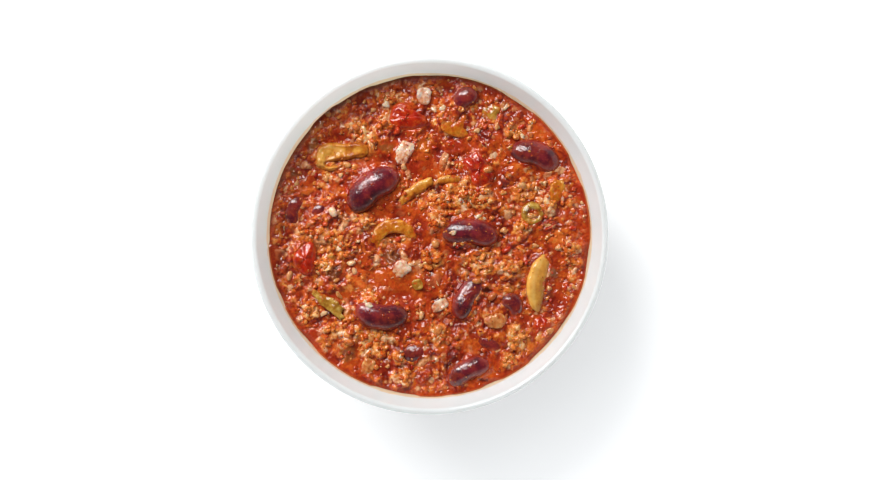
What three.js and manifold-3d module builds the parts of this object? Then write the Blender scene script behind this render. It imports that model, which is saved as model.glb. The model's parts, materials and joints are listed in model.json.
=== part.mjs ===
// Chili con carne in a round white porcelain bowl.
// The bowl is a turned shell on a foot ring. The stew fills it to a little below the lip: a thick sauce
// with crumbs of minced beef fused to its top. Kidney beans, tomato, mushroom, onion and green pepper
// lie half sunk in the sauce, each one a body of its own in a socket of its own shape.
// Units are millimetres, +Z is up, and the origin is the middle of the foot ring's resting face.
import * as THREE from "three";
import { mergeVertices } from "three/addons/utils/BufferGeometryUtils.js";
import Module from "manifold-3d";

const wasm = await Module();
wasm.setup();

// Bowl
const bowlDiameter = 115;
const bowlHeight = 56;
const lipThickness = 2.2;
const baseThickness = 5;
const footDiameter = 54;
const footWidth = 3.6;
const footHeight = 4;
const footRecess = 2.4;
const bowlFloor = 6.4;
const wallFlare = 9.1; // how far the inner wall leans out over its upper half
const turnedSides = 48;

// Stew
const fillBelowLip = 10.5;
const gap = 0.3; // clearance between neighbouring bodies
const socketFineness = 0.75; // a socket has fewer faces than its piece,
const socketSlack = 0.15; // so it is this much larger all round,
const socketGrowth = 0.055; // and by this share of the piece's width
const stewRings = 8;
const meniscus = 0.7; // how far the sauce climbs the wall
const crumbSize = 1.75;
const crumbsInHeap = 2;
const crumbTries = 9;

const fillLevel = bowlHeight - fillBelowLip;
const lipRadius = lipThickness / 2;
const degrees = Math.PI / 180;

const colours = {
  porcelain: 0xf1f0ee,
  sauce: 0xab4a22,
  bean: 0x5a1d1c,
  tomato: 0xb8301c,
  mushroom: 0xcb8a42,
  onion: 0xd8a468,
  pepper: 0x8f8430,
};

// A repeatable random number from 0 to 1.
function randomSource(seed) {
  let state = seed;
  return () => {
    state = (state + 0x6d2b79f5) | 0;
    let mixed = Math.imul(state ^ (state >>> 15), 1 | state);
    mixed = (mixed + Math.imul(mixed ^ (mixed >>> 7), 61 | mixed)) ^ mixed;
    return ((mixed ^ (mixed >>> 14)) >>> 0) / 4294967296;
  };
}

// A copy of a geometry with shared vertices and positions only.
function bareCopy(geometry) {
  const bare = new THREE.BufferGeometry();
  bare.setAttribute("position", geometry.getAttribute("position").clone());
  if (geometry.index) bare.setIndex(geometry.index.clone());
  return mergeVertices(bare, 1e-3);
}

// A closed geometry as a manifold-3d solid, and back.
function solidOf(geometry) {
  const bare = bareCopy(geometry);
  return new wasm.Manifold(
    new wasm.Mesh({
      numProp: 3,
      vertProperties: new Float32Array(bare.attributes.position.array),
      triVerts: new Uint32Array(bare.index.array),
    }),
  );
}

function geometryOf(solid) {
  const made = solid.getMesh();
  const corners = new Float32Array(made.vertProperties);
  const geometry = new THREE.BufferGeometry();
  geometry.setAttribute("position", new THREE.BufferAttribute(corners, made.numProp));
  geometry.setIndex(new THREE.BufferAttribute(made.triVerts, 1));
  geometry.computeVertexNormals();
  return geometry;
}

// Moves every vertex of a geometry by a function of its place.
function reshape(geometry, move) {
  const positions = geometry.getAttribute("position");
  const point = new THREE.Vector3();
  for (let i = 0; i < positions.count; i++) {
    point.fromBufferAttribute(positions, i);
    move(point);
    positions.setXYZ(i, ...point);
  }
  return geometry;
}

// The same closed form with its skin moved outwards.
function grown(geometry, by) {
  const larger = bareCopy(geometry);
  larger.computeVertexNormals();
  const normals = larger.getAttribute("normal");
  const positions = larger.getAttribute("position");
  const point = new THREE.Vector3();
  const outwards = new THREE.Vector3();
  for (let i = 0; i < positions.count; i++) {
    outwards.fromBufferAttribute(normals, i);
    point.fromBufferAttribute(positions, i).addScaledVector(outwards, by);
    positions.setXYZ(i, ...point);
  }
  return larger;
}

// The bowl's inner wall, from the middle of its floor up to the lip.
const innerWall = new THREE.CubicBezierCurve(
  new THREE.Vector2(0, bowlFloor),
  new THREE.Vector2(32, bowlFloor),
  new THREE.Vector2(bowlDiameter / 2 - lipThickness - wallFlare, bowlHeight * 0.46),
  new THREE.Vector2(bowlDiameter / 2 - lipThickness, bowlHeight - lipRadius),
);

// A profile is a list of points (radius, height), turned round the Z axis.
function turned(profile) {
  const lathe = new THREE.LatheGeometry(profile, turnedSides);
  return lathe.rotateX(Math.PI / 2);
}

function bowl() {
  const inside = innerWall.getPoints(9);
  const footRadius = footDiameter / 2;
  const outside = [];
  for (let i = 3; i < 7; i++) {
    const along = i / 7;
    const on = innerWall.getPoint(along);
    const way = innerWall.getTangent(along);
    const wall = THREE.MathUtils.lerp(baseThickness, lipThickness, along ** 0.7);
    const point = new THREE.Vector2(on.x + way.y * wall, on.y - way.x * wall);
    if (point.x > footRadius + 1 && point.y > footHeight) outside.push(point);
  }
  const lip = [];
  for (let i = 0; i < 4; i++) {
    const angle = (Math.PI * i) / 4;
    lip.push(
      new THREE.Vector2(
        bowlDiameter / 2 - lipRadius + Math.cos(angle) * lipRadius,
        bowlHeight - lipRadius + Math.sin(angle) * lipRadius,
      ),
    );
  }
  const foot = [
    new THREE.Vector2(0, footRecess),
    new THREE.Vector2(footRadius - footWidth - 1.2, footRecess),
    new THREE.Vector2(footRadius - footWidth, 0),
    new THREE.Vector2(footRadius - 0.5, 0),
    new THREE.Vector2(footRadius, 0.6),
    new THREE.Vector2(footRadius + 0.4, footHeight),
  ];
  return turned([...foot, ...outside, ...lip, ...inside.reverse()]);
}

// How far along the wall curve a height is reached, by halving it.
function wallAt(height) {
  let low = 0;
  let high = 1;
  for (let i = 0; i < 24; i++) {
    const middle = (low + high) / 2;
    if (innerWall.getPoint(middle).y < height) low = middle;
    else high = middle;
  }
  return low;
}

const stewRadius = innerWall.getPoint(wallAt(fillLevel)).x;

// The sauce's gentle swell, fading out towards the wall, where it climbs a little.
function surfaceHeight(x, y) {
  const reach = Math.hypot(x, y) / stewRadius;
  const swell =
    0.55 * Math.sin(x / 6.1 + 0.8) * Math.cos(y / 7.3 - 0.4) +
    0.35 * Math.sin((x + 1.7 * y) / 5.2) +
    0.25 * Math.cos((1.4 * x - y) / 3.9 + 1.1);
  const calm = THREE.MathUtils.smoothstep(reach, 0.8, 1);
  return fillLevel + swell * (1 - calm) + meniscus * THREE.MathUtils.smoothstep(reach, 0.93, 1);
}

// An octahedron's rings of points, laid out as a disc: the upper half becomes the sauce's top, and the
// lower half follows the bowl's wall down to its floor.
function stewCore() {
  const edge = wallAt(fillLevel + meniscus);
  return reshape(new THREE.OctahedronGeometry(1, stewRings - 1), (point) => {
    const across = Math.abs(point.x) + Math.abs(point.y);
    const ring = across / (across + Math.abs(point.z));
    const angle = across > 0 ? ((Math.PI / 2) * Math.abs(point.y)) / across : 0;
    const below = innerWall.getPoint(edge * ring ** 0.8);
    const under = point.z < -1e-6;
    const radius = under ? below.x - gap * ring * 2 : (innerWall.getPoint(edge).x - gap) * ring;
    point.x = Math.sign(point.x) * radius * Math.cos(angle);
    point.y = Math.sign(point.y) * radius * Math.sin(angle);
    point.z = under ? below.y + gap * 2 : surfaceHeight(point.x, point.y);
  });
}

// Each form below lies along X and takes its size from a row of the lists further down. fine, where a
// form has it, is 1 for the piece itself and less for its socket.

// A kidney bean: a fat rounded sausage, slightly bent, with a notch in the middle of its belly, at -Y.
function bean({ length, width, bend = 0.07, notch = 0.2 }, fine) {
  const shape = new THREE.SphereGeometry(1, Math.round(9 * fine), Math.round(8 * fine));
  return reshape(shape.rotateZ(Math.PI / 2), (point) => {
    const along = point.x;
    const girth = Math.hypot(point.y, point.z);
    const fuller = girth > 1e-6 ? Math.max(0, 1 - Math.abs(along) ** 2.7) ** (1 / 2.1) / girth : 0;
    const belly = 1 - notch * Math.exp(-((along / 0.32) ** 2)) * Math.max(0, -point.y);
    point.x = (along * length) / 2;
    point.y = (point.y * fuller * belly * width) / 2 + bend * width * (0.42 - 1.5 * along * along);
    point.z = (point.z * fuller * width * 0.86) / 2;
  });
}

// A cut lump with soft folds, such as a piece of tomato.
function lump({ length, width, thick, folds, phase }, fine) {
  const shape = new THREE.IcosahedronGeometry(1, Math.floor(2 * fine));
  return reshape(shape, (point) => {
    const angle = Math.atan2(point.y, point.x);
    const fold = 1 + 0.13 * Math.sin(folds * angle + phase) + 0.05 * Math.cos(4 * point.z + phase);
    point.x *= (fold * length) / 2;
    point.y *= (fold * width) / 2;
    point.z = (Math.sign(point.z) * Math.abs(point.z) ** 0.8 * thick * fold) / 2;
  });
}

// A strip along a flat arc of so many degrees, narrowing to end, a share of its full width.
function strip({ length, width, thick, sweep, end = 0.45 }) {
  const radius = length / (sweep * degrees);
  const rings = new THREE.CylinderGeometry(1, 1, 1, 6, 8).rotateZ(-Math.PI / 2);
  return reshape(rings, (point) => {
    const along = point.x * 2;
    const girth = end + (1 - end) * Math.sqrt(Math.max(0, 1 - along * along));
    const angle = (along * sweep * degrees) / 2;
    const out = radius + (point.y * girth * width) / 2;
    point.x = out * Math.sin(angle);
    point.y = out * Math.cos(angle) - radius;
    point.z *= (girth * thick) / 2;
  });
}

// A flake of onion or pepper: a square patch cut from a round layer.
function flake({ length, width, thick, arch }) {
  const shape = new THREE.BoxGeometry(1, 1, 1, 3, 3, 1);
  return reshape(shape, (point) => {
    const u = point.x * 2;
    const v = point.y * 2;
    const round = 1 - 0.16 * u * u * v * v - 0.05 * u * v;
    point.x *= round * length;
    point.y *= round * width;
    point.z = point.z * thick + arch * length * (0.4 - 0.35 * u * u - 0.2 * v * v);
  });
}

// A whole ring.
function hoop({ length, width, thick }) {
  return new THREE.TorusGeometry((length - width) / 2, width / 2, 6, 12).scale(1, 1, thick / width);
}

// A slice through a mushroom: a straight stem towards +X, and the cap's edge hooking back under it.
const sliceOutline = [
  [1, 0.1],
  [0.86, 0.55],
  [0.3, 0.66],
  [-0.3, 0.92],
  [-0.78, 0.72],
  [-1, 0.05],
  [-0.84, -0.72],
  [-0.4, -1],
  [-0.12, -0.78],
  [-0.3, -0.42],
  [0.1, -0.2],
  [0.8, -0.25],
];

function mushroomSlice({ length, width, thick }, fine) {
  const corners = sliceOutline.map(([x, y]) => new THREE.Vector3((x * length) / 2, (y * width) / 2));
  const around = new THREE.CatmullRomCurve3(corners, true).getPoints(Math.round(24 * fine));
  const outline = new THREE.Shape(around.slice(1).map((point) => new THREE.Vector2(point.x, point.y)));
  const slice = new THREE.ExtrudeGeometry(outline, { depth: 2, steps: 2, bevelEnabled: false });
  return reshape(slice, (point) => {
    const swell = Math.abs(point.z - 1) < 0.5 ? 1 : 0.9;
    point.x *= swell;
    point.y *= swell;
    point.z = ((point.z - 1) * thick) / 2;
  });
}

// Every piece that shows, largest first. at is its middle from above, turn its heading, tilt how far
// its +X end is raised, and lift how high its middle lies over the sauce.
const beans = [
  { at: [-18.6, 15.2], turn: 38, tilt: 4, lift: -0.1, length: 19.8, width: 10.6 },
  { at: [34.4, 26], turn: -18, tilt: -3, lift: -0.7, length: 16.8, width: 9.2 },
  { at: [13, 0.9], turn: -4, tilt: 3, lift: -0.4, length: 18.4, width: 9.2 },
  { at: [-15.4, -25.8], turn: 173, tilt: 5, lift: -0.5, length: 17.8, width: 9.6 },
  { at: [12.7, -19.8], turn: 60, tilt: -6, lift: -0.9, length: 16.4, width: 8.2 },
  { at: [12.4, -44], turn: 27, tilt: 4, lift: -0.8, length: 15.6, width: 8 },
  { at: [-3.2, -37.8], turn: 6, tilt: -5, lift: -1.7, length: 12, width: 7.6 },
  { at: [11, 43.9], turn: 47, tilt: 20, lift: -1.2, length: 11, width: 8 },
  { at: [-44, 8.4], turn: 76, tilt: 8, lift: -1.5, length: 11.6, width: 7.4 },
  { at: [27, -22.2], turn: -50, tilt: -12, lift: -0.9, length: 9, width: 7.2 },
  { at: [19.2, -34.6], turn: -20, tilt: 5, lift: -2.1, length: 13, width: 7.8 },
  { at: [-36.8, 6.8], turn: 50, tilt: 14, lift: -1.9, length: 9.6, width: 5.6 },
  { at: [6.2, -39.3], turn: 10, tilt: -8, lift: -1.4, length: 5.8, width: 4 },
  { at: [25, 18.6], turn: 75, tilt: -10, lift: -1.1, length: 6, width: 4.4 },
];

const tomatoes = [
  { at: [-7.4, 38.4], turn: -12, lift: -0.6, length: 13.4, width: 9.6, thick: 6, folds: 3, phase: 2 },
  { at: [16, 21.2], turn: -58, lift: -0.4, length: 12, width: 8.6, thick: 6.4, folds: 4, phase: 5 },
  { at: [-40.2, -7.4], turn: 80, lift: -0.5, length: 12.4, width: 8.8, thick: 6, folds: 3, phase: 2.6 },
  { at: [8.4, 29], turn: -8, lift: -1.3, length: 8.6, width: 5.2, thick: 4.6, folds: 2, phase: 3 },
  { at: [35.6, -30], turn: 55, lift: -1.4, length: 9.4, width: 6.4, thick: 5, folds: 3, phase: 4 },
];

const mushrooms = [
  { at: [34.8, -14.6], turn: 79, lift: 0.2, length: 21, width: 6.2, thick: 4.6, sweep: 48, end: 0.16 },
  { at: [-28.4, 26.2], turn: 8, tilt: 3, lift: 0.1, length: 18.2, width: 9.2, thick: 4, form: mushroomSlice },
  { at: [-5.2, 14.4], turn: 36, tilt: 2, lift: 0, length: 14.6, width: 4, thick: 3.6, sweep: 22 },
  { at: [6.3, 18.2], turn: 6, tilt: -4, lift: -0.1, length: 8, width: 3.2, thick: 3, sweep: 20 },
];

const onions = [
  { at: [-13.1, 2.9], turn: 17, lift: -0.1, length: 21, width: 4.4, thick: 3.2, sweep: 190, form: strip },
  { at: [8.6, 35.2], turn: -8, tilt: -4, lift: 0.1, length: 9.6, width: 6.2, thick: 1.5, arch: 0.14 },
  { at: [41.6, 14.6], turn: 70, tilt: 3, lift: -0.1, length: 7, width: 5, thick: 1.6, arch: 0.16 },
  { at: [-8.2, 27], turn: 60, tilt: 4, lift: 0.1, length: 6.8, width: 5, thick: 1.6, arch: 0.18 },
  { at: [21.1, -27.5], turn: 15, tilt: -4, lift: 0.2, length: 6.4, width: 5, thick: 1.8, arch: 0.2 },
  { at: [4.4, 24], turn: 80, lift: 0.1, length: 6.4, width: 2.6, thick: 2.6, sweep: 80, form: strip },
  { at: [-8.8, -10.8], turn: 40, tilt: 6, lift: 0, length: 5.8, width: 5, thick: 1.6, arch: 0.2 },
  { at: [3.6, -22.6], turn: 30, tilt: -4, lift: 0.1, length: 5.8, width: 3.4, thick: 1.6, arch: 0.2 },
  { at: [-20, -42.6], turn: 60, tilt: 5, lift: 0, length: 5.2, width: 4.2, thick: 1.8, arch: 0.2 },
  { at: [-1.6, 45.2], turn: 75, tilt: 6, lift: 0.2, length: 5, width: 4.4, thick: 1.6, arch: 0.18 },
];

const peppers = [
  { at: [-32.5, -22.2], turn: -35, tilt: 3, lift: 0.3, length: 12, width: 4, thick: 1.8, arch: 0.08 },
  { at: [33.4, 7], turn: 0, lift: -0.1, length: 8, width: 2.6, thick: 3, form: hoop },
  { at: [19.8, 40.6], turn: -35, tilt: 6, lift: 0.1, length: 5.6, width: 5, thick: 1.4, arch: 0.2 },
  { at: [-3.8, -15.6], turn: 20, tilt: 5, lift: 0, length: 4, width: 3.6, thick: 1.8, arch: 0.14 },
];

// Where the minced beef lies in heaps: [x, y, spread].
const minceHeaps = [
  [-20.6, 29, 3.2],
  [-23.4, 35.4, 3],
  [-14.4, 36.6, 2.6],
  [-12.6, 44.2, 2.6],
  [-40.8, 0.6, 3],
  [-34, -0.4, 2.6],
  [-29, -4.6, 3.8],
  [-33.8, -9, 2.2],
  [-26.4, -32.4, 3.6],
  [-31.6, -31, 2.6],
  [-38, -24, 2.4],
  [-18.2, -35.4, 4.4],
  [-10, -39.4, 2.6],
  [-8.6, -46, 2.8],
  [2.4, -31.4, 3],
  [3.4, 9.8, 3.8],
  [3, 4.6, 2.8],
  [11.6, 12.2, 3.4],
  [17.2, 11.6, 3],
  [31, 14.4, 3.4],
  [38.4, 10.8, 2.4],
  [29.6, 2.4, 2.4],
  [16.6, -8.6, 4.2],
  [26.2, -11.2, 3.4],
  [28.6, -33.4, 3.2],
  [26, -40, 2.8],
  [0.6, -7.4, 3],
  [-20.8, 4.8, 2.6],
  [-22, -16.4, 3],
  [38.6, 24, 2],
  [27.6, 34.2, 2.6],
  [45, -4, 2.4],
];

// The meshes of one kind, each set into the sauce where its row says.
function setOut(kind, list, form, material) {
  return list.map((row, index) => {
    const shape = row.form ?? form;
    const mesh = new THREE.Mesh(shape(row, 1), material);
    const [x, y] = row.at;
    mesh.name = `${kind}_${String(index + 1).padStart(2, "0")}`;
    mesh.position.set(x, y, surfaceHeight(x, y) + row.lift);
    mesh.rotation.set(0, -(row.tilt ?? 0) * degrees, row.turn * degrees, "ZYX");
    mesh.updateMatrix();
    const larger = grown(shape(row, socketFineness), gap + socketSlack + socketGrowth * row.width);
    mesh.userData.socket = larger.applyMatrix4(mesh.matrix);
    return mesh;
  });
}

// A crumb of minced beef: a small rough lump, most of it out of the sauce.
function crumb(x, y, size, random) {
  const lump = reshape(bareCopy(new THREE.IcosahedronGeometry(1, 0)), (point) => {
    point.multiplyScalar(size * (0.8 + 0.4 * random()));
  });
  return lump
    .scale(1, 1, 0.85)
    .rotateZ(random() * Math.PI)
    .translate(x, y, surfaceHeight(x, y) + size * (0.2 + 0.2 * random()));
}

// The crumbs of every heap, the larger ones first. A crumb that would cross a socket or the bowl is
// moved round the heap's middle, and left out if it fits nowhere.
function crumbs(sockets) {
  const random = randomSource(11);
  const kept = [];
  for (const [x, y, spread] of minceHeaps) {
    const near = [];
    for (let i = 0; i < crumbTries && near.length < crumbsInHeap; i++) {
      const angle = i * 2.4 + random();
      const reach = spread * (0.35 + 0.08 * i);
      const size = crumbSize * (1.25 - 0.3 * near.length + 0.2 * random());
      const centre = [x + Math.cos(angle) * reach, y + Math.sin(angle) * reach];
      const solid = solidOf(crumb(...centre, size, random));
      const inBowl = Math.hypot(...centre) + size * 1.2 < stewRadius - gap;
      if (inBowl && sockets.every((socket) => solid.intersect(socket).isEmpty())) near.push(solid);
    }
    kept.push(...near);
  }
  return kept;
}

// The sauce with its crumbs, less a socket for each piece. A scrap that a socket cuts loose is dropped.
function stew(pieces) {
  const sockets = pieces.map((piece) => solidOf(piece.userData.socket));
  const whole = wasm.Manifold.union([solidOf(stewCore()), ...crumbs(sockets)]);
  const bodies = whole.subtract(wasm.Manifold.union(sockets)).decompose();
  bodies.sort((a, b) => b.volume() - a.volume());
  return geometryOf(bodies[0]);
}

function glossy(colour, roughness) {
  return new THREE.MeshStandardMaterial({ color: colour, roughness, metalness: 0 });
}

const materials = {
  porcelain: glossy(colours.porcelain, 0.2),
  sauce: glossy(colours.sauce, 0.3),
  bean: glossy(colours.bean, 0.22),
  tomato: glossy(colours.tomato, 0.25),
  mushroom: glossy(colours.mushroom, 0.4),
  onion: glossy(colours.onion, 0.3),
  pepper: glossy(colours.pepper, 0.3),
};

const bowlMesh = new THREE.Mesh(bowl(), materials.porcelain);
bowlMesh.name = "bowl";

const pieces = [
  ...setOut("kidney_bean", beans, bean, materials.bean),
  ...setOut("tomato", tomatoes, lump, materials.tomato),
  ...setOut("mushroom", mushrooms, strip, materials.mushroom),
  ...setOut("onion", onions, flake, materials.onion),
  ...setOut("green_pepper", peppers, flake, materials.pepper),
];

const stewMesh = new THREE.Mesh(stew(pieces), materials.sauce);
stewMesh.name = "stew";

const chili = new THREE.Group();
chili.add(bowlMesh, stewMesh, ...pieces);

export default chili;
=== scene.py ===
import json
import math

import bpy
import numpy as np
from mathutils import Matrix, Vector
from mathutils.bvhtree import BVHTree

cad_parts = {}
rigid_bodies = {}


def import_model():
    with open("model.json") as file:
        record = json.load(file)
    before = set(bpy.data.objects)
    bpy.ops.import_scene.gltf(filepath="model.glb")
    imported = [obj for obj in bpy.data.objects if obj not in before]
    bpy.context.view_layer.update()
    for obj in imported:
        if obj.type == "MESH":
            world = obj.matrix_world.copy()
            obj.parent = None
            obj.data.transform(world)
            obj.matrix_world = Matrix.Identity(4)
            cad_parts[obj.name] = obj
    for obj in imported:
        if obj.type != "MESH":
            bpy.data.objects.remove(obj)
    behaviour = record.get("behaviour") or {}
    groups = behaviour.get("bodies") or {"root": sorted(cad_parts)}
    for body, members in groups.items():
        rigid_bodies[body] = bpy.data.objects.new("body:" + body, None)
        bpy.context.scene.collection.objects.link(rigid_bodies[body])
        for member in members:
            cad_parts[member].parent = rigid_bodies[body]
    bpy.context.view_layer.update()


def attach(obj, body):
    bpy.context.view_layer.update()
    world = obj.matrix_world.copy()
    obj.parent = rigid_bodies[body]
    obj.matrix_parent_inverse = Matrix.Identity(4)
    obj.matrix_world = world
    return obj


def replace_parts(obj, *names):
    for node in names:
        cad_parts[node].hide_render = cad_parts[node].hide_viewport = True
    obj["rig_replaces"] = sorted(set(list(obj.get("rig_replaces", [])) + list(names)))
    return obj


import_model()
mm = 0.001
degrees = math.pi / 180

# Sizes below are in millimetres unless a note says otherwise, and turn into metres when a mesh is placed


def deselectAll():
    if bpy.context.object and bpy.context.object.mode != "OBJECT":
        bpy.ops.object.mode_set(mode="OBJECT")
    bpy.ops.object.select_all(action="DESELECT")


def startEditing():
    bpy.ops.object.mode_set(mode="EDIT")
    bpy.ops.mesh.select_all(action="SELECT")


def stopEditing():
    bpy.ops.object.mode_set(mode="OBJECT")
    return bpy.context.object


def pick(piece):
    deselectAll()
    piece.select_set(True)
    bpy.context.view_layer.objects.active = piece


def placesOf(piece):
    found = np.empty(len(piece.data.vertices) * 3)
    piece.data.vertices.foreach_get("co", found)
    return found.reshape(-1, 3) / mm


def movePlaces(piece, *columns):
    piece.data.vertices.foreach_set("co", (np.column_stack(columns) * mm).ravel())
    piece.data.update()


def outwardsOf(piece):
    found = np.empty(len(piece.data.vertices) * 3)
    piece.data.vertex_normals.foreach_get("vector", found)
    return found.reshape(-1, 3)


def setValues(piece, name, values, kind="FLOAT"):
    layer = piece.data.attributes.new(name, kind, "POINT")
    layer.data.foreach_set("value" if kind == "FLOAT" else "vector", np.ravel(values).astype(float))


def easeStep(low, high, value):
    part = np.clip((value - low) / (high - low), 0, 1)
    return part * part * (3 - 2 * part)


# Smooth random bumps about one size apart, from -1 to 1
def softNoise(places, size, seed):
    side = 32
    lattice = np.random.default_rng(seed).random((side, side, side)) * 2 - 1
    cell = np.asarray(places) / size + 100
    low = np.floor(cell).astype(int)
    part = cell - low
    part = part * part * (3 - 2 * part)
    total = 0
    for corner in np.ndindex(2, 2, 2):
        share = np.abs(1 - np.array(corner) - part).prod(axis=1)
        total = total + share * lattice[tuple((low + corner).T % side)]
    return total


# Scattered pebbles: how far the nearest middle is, in spacings, and that pebble's own random number
def pebbles(x, y, spacing, seed):
    side = 128
    scatter = np.random.default_rng(seed).random((side, side, 3))
    column, row = np.floor(x / spacing).astype(int), np.floor(y / spacing).astype(int)
    nearest, own = np.full(x.shape, 9.0), np.zeros(x.shape)
    for i in (-1, 0, 1):
        for j in (-1, 0, 1):
            spot = scatter[(column + i) % side, (row + j) % side]
            away = np.hypot(x / spacing - column - i - spot[..., 0], y / spacing - row - j - spot[..., 1])
            own = np.where(away < nearest, spot[..., 2], own)
            nearest = np.minimum(away, nearest)
    return nearest, own


# Moves a surface in and out along its own normals
def ruffle(piece, size, depth, seed):
    places = placesOf(piece)
    bumps = softNoise(places, size, seed)[:, None]
    movePlaces(piece, places + outwardsOf(piece) * bumps * depth)


def finishPiece(piece, material, node):
    pick(piece)
    piece.data.materials.clear()
    piece.data.materials.append(material)
    bpy.ops.object.shade_smooth()
    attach(piece, "root")
    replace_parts(piece, node)


# Materials
def toLinear(hexColour):
    parts = [int(hexColour[i : i + 2], 16) / 255 for i in (1, 3, 5)]
    return [p / 12.92 if p <= 0.04045 else ((p + 0.055) / 1.055) ** 2.4 for p in parts] + [1]


def newMaterial(name):
    made = bpy.data.materials.new(name)
    made.use_nodes = True
    made.node_tree.nodes.clear()
    return made


# Adds a node with its settings and links. A node that is given as a value stands for its first output in use
def addNode(made, kind, values=None):
    node = made.node_tree.nodes.new("ShaderNode" + kind)
    for key, value in (values or {}).items():
        if isinstance(value, bpy.types.Node):
            value = next(socket for socket in value.outputs if socket.enabled)
        if key == "stops":
            stops = node.color_ramp.elements
            while len(stops) < len(value):
                stops.new(1)
            for stop, (position, colour) in zip(stops, value):
                stop.position = position
                stop.color = toLinear(colour)
        elif isinstance(value, bpy.types.NodeSocket):
            made.node_tree.links.new(value, node.inputs[key])
        elif isinstance(key, int) or key in node.inputs:
            node.inputs[key].default_value = toLinear(value) if isinstance(value, str) else value
        else:
            setattr(node, key, value)
    return node


# How many times a pattern of so many millimetres repeats in a metre, which is what texture scales count
def perMetre(size):
    return 1000 / size


# The sauce's own red, from its darkest hollows to the fat on top
sauceShades = [(0.04, "#76160a"), (0.24, "#9e2a0c"), (0.44, "#bb400f"), (0.62, "#d05616"), (0.8, "#e47c2c"),
               (0.97, "#f5a85c")]


# Food lies in the sauce, so thin sauce clings to its lower parts and in patches higher up
def clingingSauce(made, colour, height, patchSize=1.8, cover=0.92):
    above = addNode(made, "Attribute", {"attribute_name": "above"}).outputs["Fac"]
    spot = addNode(made, "TexCoord").outputs["Object"]
    patches = addNode(made, "TexNoise", {"Scale": perMetre(patchSize), "Detail": 4, "Roughness": 0.6,
                                         "Vector": spot})
    raised = addNode(made, "Math", {"operation": "MULTIPLY_ADD", 0: patches, 1: -5.5 * height,
                                    2: 2.9 * height})
    level = addNode(made, "Math", {"operation": "ADD", 0: above, 1: raised})
    share = addNode(made, "MapRange", {"interpolation_type": "SMOOTHSTEP", "From Min": 0.1 * height,
                                       "From Max": 1.3 * height, "To Min": cover, "To Max": 0,
                                       "Value": level})
    fine = addNode(made, "TexNoise", {"Scale": perMetre(0.8), "Detail": 4, "Roughness": 0.65, "Vector": spot})
    thin = addNode(made, "ValToRGB", {"stops": sauceShades, "Fac": fine})
    return addNode(made, "Mix", {"data_type": "RGBA", 0: share, 6: colour, 7: thin})


# Bowl. Its inner wall is one curve, and the outside runs beside it
bowl = {
    "diameter": 115,
    "height": 56,
    "lip": 2.2,
    "base": 5,
    "floor": 6.4,
    "flare": 9.1,
    "sides": 144,
    "wallSteps": 24,
}
# A film of oily sauce creeps up the wall from the stew, and thins out. All of it lies nearer to the axis than
# "inside", which the bowl's outer face is past at that height
oilyFilm = {"from": 46.2, "ragged": 1.2, "thins": 0.7, "above": 44.8, "inside": 53.5}
bowlReach = bowl["diameter"] / 2 - bowl["lip"]
wallPoints = np.array([
    (0, bowl["floor"]),
    (32, bowl["floor"]),
    (bowlReach - bowl["flare"], bowl["height"] * 0.46),
    (bowlReach, bowl["height"] - bowl["lip"] / 2),
])


def wallPoint(t):
    shares = np.array([(1 - t) ** 3, 3 * t * (1 - t) ** 2, 3 * t * t * (1 - t), t**3])
    return shares @ wallPoints


def wallOutside(t):
    onWall = wallPoint(t)
    way = wallPoint(t + 1e-4) - onWall
    way = way / np.hypot(*way)
    thick = bowl["base"] + (bowl["lip"] - bowl["base"]) * t**0.7
    return onWall + np.array([way[1], -way[0]]) * thick


def wallRadius(height):
    steps = np.array([wallPoint(t) for t in np.linspace(0, 1, 400)])
    return float(np.interp(height, steps[:, 1], steps[:, 0]))


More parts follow.
